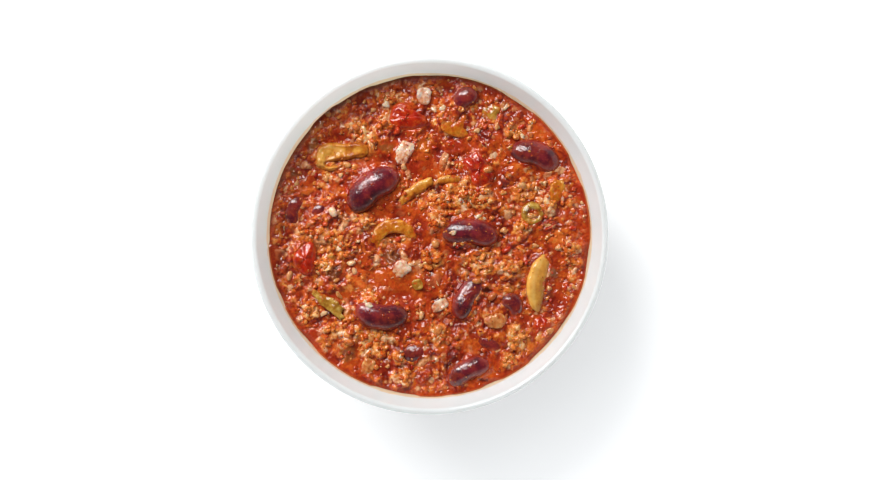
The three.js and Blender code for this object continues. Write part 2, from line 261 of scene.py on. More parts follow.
def makePorcelain():
    # Glazed porcelain, dipped and fired: a glassy clear coat over a white body that lets a little light
    # through its thin wall, bare and dull under the foot
    made = newMaterial("glazedPorcelain")
    spot = addNode(made, "TexCoord").outputs["Object"]
    height = addNode(made, "SeparateXYZ", {"Vector": spot}).outputs["Z"]
    pooling = addNode(made, "TexNoise", {"Scale": perMetre(22), "Detail": 2, "Vector": spot})
    glaze = addNode(made, "ValToRGB", {"stops": [(0.3, "#d9e4e3"), (0.7, "#dee8e8")], "Fac": pooling})
    ragged = addNode(made, "TexNoise", {"Scale": perMetre(3), "Detail": 3, "Vector": spot})
    edge = addNode(made, "Math", {"operation": "MULTIPLY_ADD", 0: ragged, 1: oilyFilm["ragged"] * mm,
                                  2: oilyFilm["from"] * mm})
    over = addNode(made, "Math", {"operation": "SUBTRACT", 0: height, 1: edge})
    film = addNode(made, "MapRange", {"interpolation_type": "SMOOTHSTEP", "From Min": 0,
                                      "From Max": oilyFilm["thins"] * mm, "To Min": 0.85, "To Max": 0,
                                      "Value": over})
    flat = addNode(made, "VectorMath", {"operation": "MULTIPLY", 0: spot, 1: (1, 1, 0)})
    reach = addNode(made, "VectorMath", {"operation": "LENGTH", 0: flat})
    inside = addNode(made, "Math", {"operation": "LESS_THAN", 0: reach, 1: oilyFilm["inside"] * mm})
    high = addNode(made, "Math", {"operation": "GREATER_THAN", 0: height, 1: oilyFilm["above"] * mm})
    there = addNode(made, "Math", {"operation": "MULTIPLY", 0: high, 1: inside})
    stained = addNode(made, "Math", {"operation": "MULTIPLY", 0: film, 1: there})
    colour = addNode(made, "Mix", {"data_type": "RGBA", 0: stained, 6: glaze, 7: "#f2c294"})
    bare = addNode(made, "MapRange", {"From Min": 0.0002, "From Max": 0.0005, "To Min": 1, "To Max": 0,
                                      "Value": height})
    footed = addNode(made, "Mix", {"data_type": "RGBA", 0: bare, 6: colour, 7: "#e4dccb"})
    rough = addNode(made, "MapRange", {"To Min": 0.2, "To Max": 0.7, "Value": bare})
    ripple = addNode(made, "Bump", {"Strength": 0.15, "Distance": 0.0002, "Height": pooling})
    skin = addNode(made, "BsdfPrincipled", {
        "Base Color": footed, "Roughness": rough, "Normal": ripple, "IOR": 1.5, "Subsurface Weight": 0.9,
        "Subsurface Radius": (1, 1, 0.96), "Subsurface Scale": 0.014})
    addNode(made, "OutputMaterial", {"Surface": skin})
    return made


def makeBowl():
    steps = bowl["wallSteps"]
    foot = [(0, 2.4), (10, 2.4), (20.6, 2.4), (21.8, 2.38), (22.3, 2.2), (23.2, 0.35), (23.5, 0.06),
            (23.9, 0), (26.2, 0), (26.6, 0.1), (26.92, 0.5), (27.05, 1), (27.3, 3.2), (27.6, 4), (28.4, 4.9)]
    outside = [wallOutside(t) for t in np.linspace(0.44, 0.985, steps)]
    lipMiddle = (bowl["diameter"] / 2 - bowl["lip"] / 2, bowl["height"] - bowl["lip"] / 2)
    lip = [(lipMiddle[0] + math.cos(a) * bowl["lip"] / 2, lipMiddle[1] + math.sin(a) * bowl["lip"] / 2)
           for a in np.linspace(-0.1, math.pi - 0.2, 10)]
    inside = [wallPoint(t) for t in np.linspace(0.985, 0, steps + 6)]
    profile = foot + [tuple(p) for p in outside] + lip + [tuple(p) for p in inside]
    profile = [p for i, p in enumerate(profile)
               if i < len(foot) or p[0] > foot[-1][0] or i >= len(foot) + steps]
    # a ring of points becomes the profile, loses its edge on the axis and is spun like clay on a wheel
    deselectAll()
    bpy.ops.mesh.primitive_circle_add(vertices=len(profile), radius=1)
    piece = bpy.context.object
    piece.name = "bowlPorcelain"
    movePlaces(piece, np.array([(r, 0, z) for r, z in profile]))
    bpy.ops.object.mode_set(mode="EDIT")
    bpy.ops.mesh.select_mode(type="EDGE")
    bpy.ops.mesh.select_all(action="DESELECT")
    bpy.ops.object.mode_set(mode="OBJECT")
    for edge in piece.data.edges:
        edge.select = all(piece.data.vertices[i].co.x < 1e-6 for i in edge.vertices)
    bpy.ops.object.mode_set(mode="EDIT")
    bpy.ops.mesh.delete(type="EDGE")
    bpy.ops.mesh.select_all(action="SELECT")
    bpy.ops.mesh.spin(steps=bowl["sides"], angle=2 * math.pi, center=(0, 0, 0), axis=(0, 0, 1))
    bpy.ops.mesh.select_all(action="SELECT")
    bpy.ops.mesh.remove_doubles(threshold=1e-6)
    bpy.ops.mesh.normals_make_consistent(inside=False)
    stopEditing()
    smooth = piece.modifiers.new("smooth", "SUBSURF")
    smooth.levels = smooth.render_levels = 1
    bpy.ops.object.modifier_apply(modifier="smooth")
    # the subdivision draws the lip and foot in by a hair, so the sizes are set again
    places = placesOf(piece)
    reach = np.hypot(places[:, 0], places[:, 1]).max()
    low, high = places[:, 2].min(), places[:, 2].max()
    places[:, :2] *= bowl["diameter"] / 2 / reach
    places[:, 2] = (places[:, 2] - low) * bowl["height"] / (high - low)
    movePlaces(piece, places)
    finishPiece(piece, makePorcelain(), "bowl")


makeBowl()
print("bowl spun")


# Stew: how high its surface stands, before any grain
stew = {
    "level": 45.5,
    "meniscus": 0.5,
    "cells": 286,
    "intoWall": 0.12,
    "edgeDips": 1.2,
    "climbThick": 1.15,  # how high it climbs beans and tomato
    "climbThin": 0.6,  # and mushroom, onion and pepper
}
stewRadius = wallRadius(stew["level"])
stewEdge = wallRadius(stew["level"] + stew["meniscus"]) + stew["intoWall"]


def surfaceHeight(x, y):
    reach = np.hypot(x, y) / stewRadius
    swell = (0.55 * np.sin(x / 6.1 + 0.8) * np.cos(y / 7.3 - 0.4)
             + 0.35 * np.sin((x + 1.7 * y) / 5.2)
             + 0.25 * np.cos((1.4 * x - y) / 3.9 + 1.1))
    return stew["level"] + swell * (1 - easeStep(0.8, 1, reach)) + stew["meniscus"] * easeStep(0.93, 1, reach)


# Sets a finished shape into the sauce: at is its middle, turn its heading, tilt how far its +X end is raised,
# roll how far its +Y side is raised, and lift how high its middle lies over the sauce
def lay(piece, row):
    own = placesOf(piece)
    setValues(piece, "own", own, "FLOAT_VECTOR")
    x, y = row["at"]
    spot = Vector((x, y, float(surfaceHeight(x, y)) + row["lift"])) * mm
    piece.data.transform(Matrix.Translation(spot) @ Matrix.Rotation(row["turn"] * degrees, 4, "Z")
                         @ Matrix.Rotation(-row.get("tilt", 0) * degrees, 4, "Y")
                         @ Matrix.Rotation(row.get("roll", 0) * degrees, 4, "X"))
    piece.data.update()
    places = placesOf(piece)
    setValues(piece, "above", places[:, 2] - surfaceHeight(places[:, 0], places[:, 1]))


# A wet skin: what is wet has little shine of its own, so nearly all of it is that of the clear film of broth.
# The film follows the skin's own bumps, has bumps of its own, or is smooth
def wetSurface(made, colour, rough, filmRough, bump, filmBump=None, shine=0.08, clear=0.0, clearReach=0.0015,
               film=1.47):
    values = {"Base Color": colour, "Roughness": rough, "Normal": bump, "Specular IOR Level": shine,
              "Coat Weight": 1.0, "Coat Roughness": filmRough, "Coat IOR": film}
    if clear:
        values.update({"Subsurface Weight": clear, "Subsurface Radius": (1, 0.35, 0.2),
                       "Subsurface Scale": clearReach})
    if filmBump:
        values["Coat Normal"] = filmBump
    skin = addNode(made, "BsdfPrincipled", values)
    addNode(made, "OutputMaterial", {"Surface": skin})


# Fine grain as a bump, at a scale and a depth in metres
def grainBump(made, where, scale, detail, strength, depth):
    grain = addNode(made, "TexNoise", {"Scale": scale, "Detail": detail, "Vector": where})
    return addNode(made, "Bump", {"Strength": strength, "Distance": depth, "Height": grain})


# A table's rows as dictionaries: its columns are named once, and a row may end with a dictionary of its own
def table(columns, rows):
    names = columns.split()
    return [dict(zip(names, row), **dict(*row[len(names):])) for row in rows]


# A sphere with its poles at the ends of X
def lyingSphere(around, rings):
    deselectAll()
    bpy.ops.mesh.primitive_uv_sphere_add(segments=around, ring_count=rings, radius=mm)
    startEditing()
    bpy.ops.transform.rotate(value=math.pi / 2, orient_axis="Y", center_override=(0, 0, 0))
    return stopEditing()


# A cube with each of its sides cut into squares
def cutCube(cuts):
    deselectAll()
    bpy.ops.mesh.primitive_cube_add(size=2 * mm)
    startEditing()
    bpy.ops.mesh.subdivide(number_cuts=cuts)
    return stopEditing()


# Kidney beans
beans = {
    "bluntness": 2.7,
    "fullness": 2.1,
    "bend": 0.07,
    "notch": 0.2,
    "notchWidth": 0.32,
    "flatness": 0.86,
    "dents": 0.2,
    "rows": table("at turn tilt lift length width", [
        ((-18.6, 15.2), 38, 4, -0.1, 19.8, 10.6),
        ((34.4, 26), -18, -3, -0.7, 16.8, 9.2),
        ((13, 0.9), -4, 3, -0.4, 18.4, 9.2),
        ((-15.4, -25.8), 173, 5, -0.5, 17.8, 9.6),
        ((12.7, -19.8), 60, -6, -0.9, 16.4, 8.2),
        ((12.4, -44), 27, 4, -0.8, 15.6, 8),
        ((-3.2, -37.8), 6, -5, -1.7, 12, 7.6),
        ((11, 43.9), 47, 20, -1.2, 11, 8),
        ((-44, 8.4), 76, 8, -1.5, 11.6, 7.4),
        ((27, -22.2), -50, -12, -0.9, 9, 7.2),
        ((19.2, -34.6), -20, 5, -2.1, 13, 7.8),
        ((-36.8, 6.8), 50, 14, -1.9, 9.6, 5.6),
        ((6.2, -39.3), 10, -8, -1.4, 5.8, 4),
        ((25, 18.6), 75, -10, -1.1, 6, 4.4),
    ]),
}


def makeBeanSkin():
    # Boiled kidney bean: a thin, taut skin, glossy as wet leather, maroon with darker purple blotches
    made = newMaterial("boiledBeanSkin")
    own = addNode(made, "Attribute", {"attribute_name": "own"}).outputs["Vector"]
    blotches = addNode(made, "TexNoise", {"Scale": 1 / 6, "Detail": 3, "Roughness": 0.55, "Vector": own})
    skin = addNode(made, "ValToRGB", {"Fac": blotches, "stops": [
        (0.3, "#340818"), (0.44, "#570f20"), (0.56, "#7a1b27"), (0.72, "#9a3030")]})
    veins = addNode(made, "TexNoise", {"Scale": 1 / 0.7, "Detail": 4, "Roughness": 0.6, "Vector": own})
    freckled = addNode(made, "MapRange", {"From Min": 0.55, "From Max": 0.7, "To Max": 0.6, "Value": veins})
    dotted = addNode(made, "Mix", {"data_type": "RGBA", 0: freckled, 6: skin, 7: "#a2452f"})
    # the scar where it hung in the pod, in the notch
    scar = addNode(made, "Mapping", {"Scale": (1, 1, 2.4), "Vector": own})
    away = addNode(made, "VectorMath", {"operation": "DISTANCE", 0: scar, 1: (0, -3.4, 0)})
    pale = addNode(made, "MapRange", {"From Min": 0.7, "From Max": 1.1, "To Min": 0.8, "To Max": 0,
                                      "Value": away})
    scarred = addNode(made, "Mix", {"data_type": "RGBA", 0: pale, 6: dotted, 7: "#c9a489"})
    filmed = clingingSauce(made, scarred, 4, 3.4, 0.24)
    colour = clingingSauce(made, filmed, 0.9, 2, 0.8)
    bump = addNode(made, "Bump", {"Strength": 0.3, "Distance": 0.0001, "Height": veins})
    runs = addNode(made, "TexNoise", {"Scale": 1 / 2.4, "Detail": 3, "Roughness": 0.6, "Distortion": 0.5,
                                      "Vector": own})
    film = addNode(made, "Bump", {"Strength": 0.75, "Distance": 0.0005, "Height": runs})
    wetSurface(made, colour, 0.28, 0.05, bump, film, shine=0.22, film=1.53)
    return made


def makeBeans():
    skin = makeBeanSkin()
    master = lyingSphere(56, 40)
    for number, row in enumerate(beans["rows"], 1):
        pick(master)
        bpy.ops.object.duplicate()
        bean = bpy.context.object
        bean.name = f"bean{number:02d}"
        along, across, up = placesOf(bean).T
        fuller = np.clip(1 - np.abs(along) ** beans["bluntness"], 0, 1) ** (1 / beans["fullness"])
        fuller = fuller / np.maximum(np.hypot(across, up), 1e-6)
        width = row["width"]
        # the belly is notched where the scar is
        pinch = 1 - beans["notch"] * np.exp(-(along / beans["notchWidth"]) ** 2) * np.maximum(0, -across)
        bend = beans["bend"] * width * (0.42 - 1.5 * along**2)
        movePlaces(bean, along * row["length"] / 2, across * fuller * width / 2 * pinch + bend,
                   up * fuller * width * beans["flatness"] / 2)
        ruffle(bean, 5.5, beans["dents"], 20 + number)
        ruffle(bean, 2.1, beans["dents"] * 0.3, 50 + number)
        lay(bean, row)
        finishPiece(bean, skin, f"kidney_bean_{number:02d}")
    bpy.data.objects.remove(master)


makeBeans()
print("beans laid")


# Tomato: soft lumps with folds
tomatoes = {
    "wrinkles": 0.3,
    "creases": 0.22,
    "rows": table("at turn lift length width thick folds phase", [
        ((-7.4, 38.4), -12, -0.7, 14, 10.4, 6, 3, 2),
        ((16, 21.2), -58, -0.4, 12, 8.6, 6.4, 4, 5),
        ((-40.2, -7.4), 80, -0.9, 12.4, 8.8, 6, 3, 2.6),
        ((8.4, 29), -8, -1.3, 8.6, 5.2, 4.6, 2, 3),
        ((35.6, -30), 55, -1.4, 9.4, 6.4, 5, 3, 4),
    ]),
}


def makeTomatoFlesh():
    # Stewed tomato: wet, soft and a little clear, so light goes in and comes back a deep, pure red
    made = newMaterial("stewedTomato")
    own = addNode(made, "Attribute", {"attribute_name": "own"}).outputs["Vector"]
    patches = addNode(made, "TexNoise", {"Scale": 1 / 3.2, "Detail": 4, "Roughness": 0.6, "Vector": own})
    flesh = addNode(made, "ValToRGB", {"Fac": patches, "stops": [
        (0.3, "#860f04"), (0.44, "#ac1f07"), (0.56, "#c2300c"), (0.72, "#d9581f")]})
    colour = clingingSauce(made, flesh, 2.3, 1.8, 0.85)
    wetSurface(made, colour, 0.3, 0.06, grainBump(made, own, 1 / 0.7, 3, 0.5, 0.00025), clear=0.25)
    return made


def makeTomatoes():
    flesh = makeTomatoFlesh()
    for number, row in enumerate(tomatoes["rows"], 1):
        deselectAll()
        bpy.ops.mesh.primitive_ico_sphere_add(subdivisions=6, radius=mm)
        lump = bpy.context.object
        lump.name = f"tomato{number:02d}"
        x, y, z = placesOf(lump).T
        around = np.sin(row["folds"] * np.arctan2(y, x) + row["phase"])
        fold = 1 + 0.09 * around + 0.05 * np.cos(4 * z + row["phase"])
        movePlaces(lump, x * fold * row["length"] / 2, y * fold * row["width"] / 2,
                   np.sign(z) * np.abs(z) ** 0.8 * row["thick"] * fold / 2)
        # long creases where the flesh has slumped
        places = placesOf(lump)
        crease = np.abs(np.sin(places[:, 1] * 0.85 + softNoise(places, 4.5, 70 + number) * 2.4))
        movePlaces(lump, places - outwardsOf(lump) * ((1 - crease) ** 2.2 * tomatoes["creases"])[:, None])
        ruffle(lump, 3.1, tomatoes["wrinkles"], 80 + number)
        ruffle(lump, 1.4, tomatoes["wrinkles"] * 0.4, 90 + number)
        lay(lump, row)
        finishPiece(lump, flesh, f"tomato_{number:02d}")


makeTomatoes()
print("tomato laid")


# A strip along a flat arc, narrowing to its ends, from a sphere with its poles at the ends
def stripShape(row, around=28, rings=64):
    piece = lyingSphere(around, rings)
    x, y, z = placesOf(piece).T
    girthNow = np.maximum(np.hypot(y, z), 1e-6)
    along = np.arcsin(np.clip(x, -1, 1)) / (math.pi / 2)
    end = row.get("end", 0.45)
    blunt = np.clip(1 - np.abs(along) ** 14, 0, 1) ** 0.5
    girth = (end + (1 - end) * np.clip(1 - along**2, 0, 1) ** row.get("taper", 0.5)) * blunt
    radius = row["length"] / (row["sweep"] * degrees)
    angle = along * row["sweep"] * degrees / 2
    across, up = y / girthNow, z / girthNow
    # a rounded, nearly square section, a little smaller than the strip to leave its ruffles room
    square = 1 / (np.abs(across) ** 3.2 + np.abs(up) ** 3.2) ** (1 / 3.2)
    out = radius + across * square * girth * row["width"] / 2 * 0.96
    movePlaces(piece, out * np.sin(angle), out * np.cos(angle) - radius,
               up * square * girth * row["thick"] / 2 * 0.92)
    setValues(piece, "across", across * square * np.minimum(1, girthNow * 3))
    return piece


# A patch cut from a round layer: a rounded block, arched like the layer it came from
def flakeShape(row):
    piece = cutCube(17)
    places = placesOf(piece)
    power = row.get("power", 7)
    u, v, up = (places / ((np.abs(places) ** power).sum(axis=1) ** (1 / power))[:, None]).T
    spot = np.column_stack([u, v, 0 * u]) * row["length"] / 2
    ragged = softNoise(spot, 2.6, int(row["turn"]) + 400) + 0.5 * softNoise(spot, 1.1, int(row["turn"]) + 500)
    trim = (1 - 0.2 * u * u * v * v - 0.05 * u * v) * (1 + row.get("ragged", 0.24) * ragged)
    arch = row["arch"] * row["length"] * (0.4 - 0.35 * u * u - 0.2 * v * v)
    movePlaces(piece, u * trim * row["length"] / 2, v * trim * row["width"] / 2, up * row["thick"] / 2 + arch)
    return piece


# A whole ring
def hoopShape(row):
    deselectAll()
    radius, tube = (row["length"] - row["width"]) / 2, row["width"] / 2
    bpy.ops.mesh.primitive_torus_add(major_radius=radius * mm, minor_radius=tube * mm, major_segments=64,
                                     minor_segments=24)
    piece = bpy.context.object
    movePlaces(piece, placesOf(piece) * (1, 1, row["thick"] / row["width"]))
    return piece


# A slice through a mushroom: a straight stem towards +X, and the cap's edge hooking back under it
sliceOutline = [(1, 0.1), (0.93, 0.52), (0.62, 0.74), (0.2, 0.76), (-0.3, 0.96), (-0.74, 0.82), (-1, 0.15),
                (-0.93, -0.6), (-0.54, -1), (-0.14, -1), (-0.02, -0.8), (-0.28, -0.7), (-0.58, -0.67),
                (-0.62, -0.5), (-0.3, -0.4), (0.1, -0.36), (0.5, -0.34), (0.86, -0.3)]


def sliceShape(row):
    # a little smaller than the slice, to leave its ruffles room
    corners = np.array(sliceOutline) * (row["length"] / 2 * 0.96, row["width"] / 2 * 0.94)
    thick = row["thick"] * mm
    deselectAll()
    bpy.ops.curve.primitive_bezier_circle_add(radius=mm)
    drawn = bpy.context.object.data
    drawn.splines.clear()
    spline = drawn.splines.new("BEZIER")
    spline.bezier_points.add(len(corners) - 1)
    for point, (x, y) in zip(spline.bezier_points, corners):
        point.co = (x * mm, y * mm, 0)
        point.handle_left_type = point.handle_right_type = "AUTO"
    spline.use_cyclic_u = True
    drawn.dimensions = "2D"
    drawn.fill_mode = "BOTH"
    drawn.extrude = drawn.bevel_depth = thick * 0.24
    drawn.bevel_resolution = 4
    drawn.offset = -thick * 0.2
    bpy.ops.object.convert(target="MESH")
    piece = bpy.context.object
    piece.data.remesh_voxel_size = 0.22 * mm
    bpy.ops.object.voxel_remesh()
    # a rounded rim all round and a shallow middle, from how far in each place lies
    places = placesOf(piece)
    inward = np.full(len(places), 9.0)
    for start, end in zip(corners, np.roll(corners, -1, axis=0)):
        side = end - start
        part = np.clip((places[:, :2] - start) @ side / (side @ side), 0, 1)
        inward = np.minimum(inward, np.hypot(*(places[:, :2] - start - part[:, None] * side).T))
    places[:, 2] *= 1 - 0.08 * easeStep(0.5, 2.2, inward) - 0.2 * (1 - easeStep(0, 0.9, inward))
    movePlaces(piece, places)
    onStem = easeStep(-0.3, 0.2, places[:, 0] / row["length"])
    setValues(piece, "across", np.clip(inward / 2, 0, 1) - onStem)
    return piece


mushrooms = table("at turn tilt lift length width thick form rough", [
    ((34.8, -14.6), 79, -4, 0, 21.4, 6.6, 3.8, stripShape, 0.2,
     {"roll": 14, "sweep": 56, "end": 0.05, "taper": 0.75, "pale": 0.3}),
    ((-28.4, 26.2), 8, 3, 0.4, 18.2, 9.4, 4, sliceShape, 0.3),
    ((-5.2, 14.4), 36, 2, 0, 14.6, 4, 3.6, stripShape, 0.45, {"sweep": 22}),
    ((6.3, 18.2), 6, -4, -0.1, 8, 3.2, 3, stripShape, 0.35, {"sweep": 20}),
])
# onions four, eight and ten are paler: partly white flesh, partly painted glare where the wet food reflects
# the light
onions = table("at turn tilt lift length width thick", [
    ((-13.1, 2.9), 17, 0, 0.5, 21, 4.8, 3.2, {"sweep": 190, "form": stripShape, "rough": 0.3}),
    ((8.6, 35.2), -8, -4, -0.4, 9.6, 6.2, 1.5, {"arch": 0.14, "rough": 0.3, "ragged": 0.08, "power": 3.4}),
    ((41.6, 14.6), 70, 3, -0.1, 7, 5, 1.6, {"arch": 0.16}),
    ((-8.2, 27), 60, 4, 0.1, 6.8, 5, 1.6, {"arch": 0.18, "pale": 1}),
    ((21.1, -27.5), 15, -4, 0.2, 6.4, 5, 1.8, {"arch": 0.2, "pale": 0.15, "ragged": 0.32}),
    ((4.4, 24), 80, 0, 0.1, 6.4, 2.6, 2.6, {"sweep": 80, "form": stripShape, "pale": 0.3}),
    ((-8.8, -10.8), 40, 6, 0, 5.8, 5, 1.6, {"arch": 0.2, "pale": 0.85}),
    ((3.6, -22.6), 30, -4, 0.1, 5.8, 3.4, 1.6, {"arch": 0.2, "pale": 0.9}),
    ((-20, -42.6), 60, 5, 0, 5.2, 4.2, 1.8, {"arch": 0.2, "pale": 0.15}),
    ((-1.6, 45.2), 75, 6, 0.2, 5, 4.4, 1.6, {"arch": 0.18, "pale": 1}),
])
peppers = table("at turn tilt lift length width thick", [
    ((-32.5, -22.2), -35, 3, 0.3, 12, 4, 1.8, {"arch": 0.08}),
    ((33.4, 7), 0, 0, -0.4, 8, 2.6, 3, {"form": hoopShape, "rough": 0.3}),
    ((19.8, 40.6), -35, 6, -0.25, 5.6, 5, 1.4, {"arch": 0.2}),
    ((-3.8, -15.6), 20, 5, 0, 4, 3.6, 1.8, {"arch": 0.14}),
])


def makeMushroomFlesh():
    # Fried mushroom: dense and satin, golden where it browned, darker along one edge, with a highlight
    # painted as a pale line along the other
    made = newMaterial("friedMushroom")
    own = addNode(made, "Attribute", {"attribute_name": "own"}).outputs["Vector"]
    across = addNode(made, "Attribute", {"attribute_name": "across"}).outputs["Fac"]
    pale = addNode(made, "Attribute", {"attribute_name": "pale"}).outputs["Fac"]
    patches = addNode(made, "TexNoise", {"Scale": 1 / 2.6, "Detail": 4, "Roughness": 0.55, "Vector": own})
    leaning = addNode(made, "Math", {"operation": "MULTIPLY_ADD", 0: across, 1: 0.19, 2: patches})
    flesh = addNode(made, "ValToRGB", {"Fac": leaning, "stops": [
        (0.3, "#9c480e"), (0.44, "#bf6e1c"), (0.58, "#d68c30"), (0.74, "#e9ac50")]})
    lighter = addNode(made, "Mix", {"data_type": "RGBA", 0: pale, 6: flesh, 7: "#f2c060"})
    # a painted highlight: a pale line along the rim
    fromHighlightLine = addNode(made, "Math", {"operation": "SUBTRACT", 0: across, 1: 0.42})
    nearHighlightLine = addNode(made, "Math", {"operation": "ABSOLUTE", 0: fromHighlightLine})
    line = addNode(made, "MapRange", {"interpolation_type": "SMOOTHSTEP", "From Min": 0.02, "From Max": 0.36,
                                      "To Min": 0.25, "To Max": 0, "Value": nearHighlightLine})
    highlightLined = addNode(made, "Mix", {"data_type": "RGBA", 0: line, 6: lighter, 7: "#f4cc80"})
    colour = clingingSauce(made, highlightLined, 0.9)
    bump = grainBump(made, own, 1 / 0.6, 3, 0.35, 0.00015)
    wetSurface(made, colour, 0.4, 0.12, bump, bump, clear=0.2, clearReach=0.001, film=1.39)
    return made


def makeOnionFlesh():
    # Softened onion: watery and half clear, so it takes the sauce's colours; some pieces are pale, partly
    # white flesh and partly painted glare
    made = newMaterial("softOnion")
    own = addNode(made, "Attribute", {"attribute_name": "own"}).outputs["Vector"]
    pale = addNode(made, "Attribute", {"attribute_name": "pale"}).outputs["Fac"]
    patches = addNode(made, "TexNoise", {"Scale": 1 / 1.9, "Detail": 4, "Roughness": 0.6, "Vector": own})
    golden, white = [addNode(made, "ValToRGB", {"Fac": patches, "stops": stops}) for stops in (
        [(0.3, "#a4480a"), (0.44, "#c26812"), (0.58, "#d48426"), (0.75, "#e8ac4c")],
        [(0.3, "#cf7a48"), (0.42, "#e6a880"), (0.55, "#f4d2b6"), (0.74, "#fbeadc")])]
    flesh = addNode(made, "Mix", {"data_type": "RGBA", 0: pale, 6: golden, 7: white})
    colour = clingingSauce(made, flesh, 1.15, 2.6, 0.85)
    bump = grainBump(made, own, 1 / 1.4, 2, 0.6, 0.0005)
    wetSurface(made, colour, 0.3, 0.08, bump, bump, clear=0.45)
    return made


def makePepperSkin():
    # Cooked green pepper: waxy skin gone olive, and yellower in patches
    made = newMaterial("cookedPepper")
    own = addNode(made, "Attribute", {"attribute_name": "own"}).outputs["Vector"]
    patches = addNode(made, "TexNoise", {"Scale": 1 / 1.8, "Detail": 4, "Roughness": 0.6, "Vector": own})
    skin = addNode(made, "ValToRGB", {"Fac": patches, "stops": [
        (0.3, "#7a4a12"), (0.45, "#a06c20"), (0.58, "#bc8e38"), (0.74, "#dab866")]})
    colour = clingingSauce(made, skin, 0.8, 1.8)
    bump = grainBump(made, own, 1 / 0.6, 2, 0.4, 0.00015)
    wetSurface(made, colour, 0.3, 0.06, bump, bump)
    return made


def setOut(kind, title, rows, material):
    for number, row in enumerate(rows, 1):
        piece = row.get("form", flakeShape)(row)
        piece.name = f"{title}{number:02d}"
        rough = row.get("rough", 0.36)
        seed = 100 + 13 * number + len(title)
        ruffle(piece, 2.2, rough, seed)
        ruffle(piece, 1.0, rough * 0.5, seed + 1)
        setValues(piece, "pale", np.full(len(piece.data.vertices), row.get("pale", 0.0)))
        lay(piece, row)
        finishPiece(piece, material, f"{kind}_{number:02d}")


setOut("mushroom", "mushroom", mushrooms, makeMushroomFlesh())
setOut("onion", "onion", onions, makeOnionFlesh())
setOut("green_pepper", "pepper", peppers, makePepperSkin())
print("mushroom, onion and pepper laid")

laid = [o for o in bpy.context.scene.objects if "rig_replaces" in o and not o.name.startswith("bowl")]


# One search tree over the surfaces of several pieces, in millimetres
def treeOf(pieces):
    corners, faces, count = [], [], 0
    for piece in pieces:
        places = placesOf(piece)
        corners.extend(map(tuple, places))
        faces.extend(tuple(i + count for i in face.vertices) for face in piece.data.polygons)
        count += len(places)
    return BVHTree.FromPolygons(corners, faces)


pieceTree = treeOf(laid)
thickTree = treeOf([o for o in laid if o.name.startswith(("bean", "tomato"))])
thinTree = treeOf([o for o in laid if o.name.startswith(("mushroom", "onion", "pepper"))])

# Where the minced beef lies in heaps: x, y, spread
minceHeaps = [
    (-20.6, 29, 3.2), (-23.4, 35.4, 3), (-14.4, 36.6, 2.6), (-12.6, 44.2, 2.6), (-40.8, 0.6, 3),
    (-34, -0.4, 2.6), (-29, -4.6, 3.8), (-33.8, -9, 2.2), (-26.4, -32.4, 3.6), (-31.6, -31, 2.6),
    (-38, -24, 2.4), (-18.2, -35.4, 4.4), (-10, -39.4, 2.6), (-8.6, -46, 2.8), (2.4, -31.4, 3),
    (3.4, 9.8, 3.8), (3, 4.6, 2.8), (11.6, 12.2, 3.4), (17.2, 11.6, 3), (31, 14.4, 3.4), (38.4, 10.8, 2.4),
    (29.6, 2.4, 2.4), (16.6, -8.6, 4.2), (26.2, -11.2, 3.4), (28.6, -33.4, 3.2), (26, -40, 2.8),
    (0.6, -7.4, 3), (-20.8, 4.8, 2.6), (38.6, 24, 2), (27.6, 34.2, 2.6), (45, -4, 2.4),
]


# How much mince lies at a place, from 0 to 1
def minceShare(x, y):
    share = np.zeros(np.shape(x))
    for heapX, heapY, spread in minceHeaps:
        share = np.maximum(share, np.exp(-(((x - heapX) ** 2 + (y - heapY) ** 2) / (spread * 1.15) ** 2)))
    return share


# What else shows in the sauce: places where it is redder, more orange, browner or golden, and deep places,
# lowered and painted dark as shade, as x, y, size
sauceSpots = {
    "ruby": [(-29.2, 33.5, 3.4), (-4.4, 21.7, 2.6), (-9.1, 32.3, 2.4), (30.8, -27.7, 2.4), (36.3, -28.5, 3.8),
             (49.2, 13.3, 2.8), (-37.1, -32, 3), (-14.2, -41.5, 3.6), (-8.3, -21, 2.8), (39, -20, 2.6),
             (8, 29, 3.4), (-12.4, 36.6, 3), (-3.4, 35.6, 2.4)],
    "amber": [(-39.8, 16.2, 3.4), (-22.9, -14.2, 3), (-26, -41.4, 3), (36.1, 33.2, 4.2), (22.6, 30.6, 3.6),
              (-7.8, -3, 2.2), (20.5, -19.8, 1.8), (3.4, -35, 3), (41.9, -1.4, 3.4), (43.5, 6.6, 2.8),
              (-20.9, -7.6, 2), (28, 22, 3)],
    # the umber spot at (40.2, -11.9) is painted shadow beside the mushroom on the right
    "umber": [(-44.6, 20.5, 2), (27.6, 35.1, 2.4), (-26.4, -37.9, 2.6), (-30.4, -11.5, 2.8),
              (40.2, -11.9, 2.2), (-12.1, -6.1, 3.2), (-13.9, 28.4, 1.8), (-37, 30, 2.2)],
    "gold": [(-18.2, 31.1, 2.9), (-7.8, -0.1, 1.8), (-1.4, 29, 2.6), (26, -10.7, 3.2), (43.8, 2.1, 1.9),
             (2.5, 4.7, 2.5), (-31.5, -15.8, 1.5), (-12.3, -35.6, 1.8), (-13.2, 0.6, 5), (-9.6, -1.6, 3.4),
             (9, 34.6, 3.6), (-8.4, -45.6, 2.2)],
    # deep places: lowered, and painted dark as shade
    "deep": [(6, -41.9, 1.6), (17.4, -46.9, 1.4), (2.1, -20.6, 2), (18.2, -18.2, 1.4), (16.2, -4.3, 2.6),
             (9.2, -4.6, 2.2), (1.7, 15.4, 1.6), (7.3, 24.2, 1.1), (24, 17.5, 2), (35.4, 6, 1.6)],
}


def spotShare(kind, x, y):
    share = np.zeros(np.shape(x))
    for spotX, spotY, size in sauceSpots[kind]:
        share = np.maximum(share, 1 - easeStep(0.45, 1.2, np.hypot(x - spotX, y - spotY) / size))
    return share


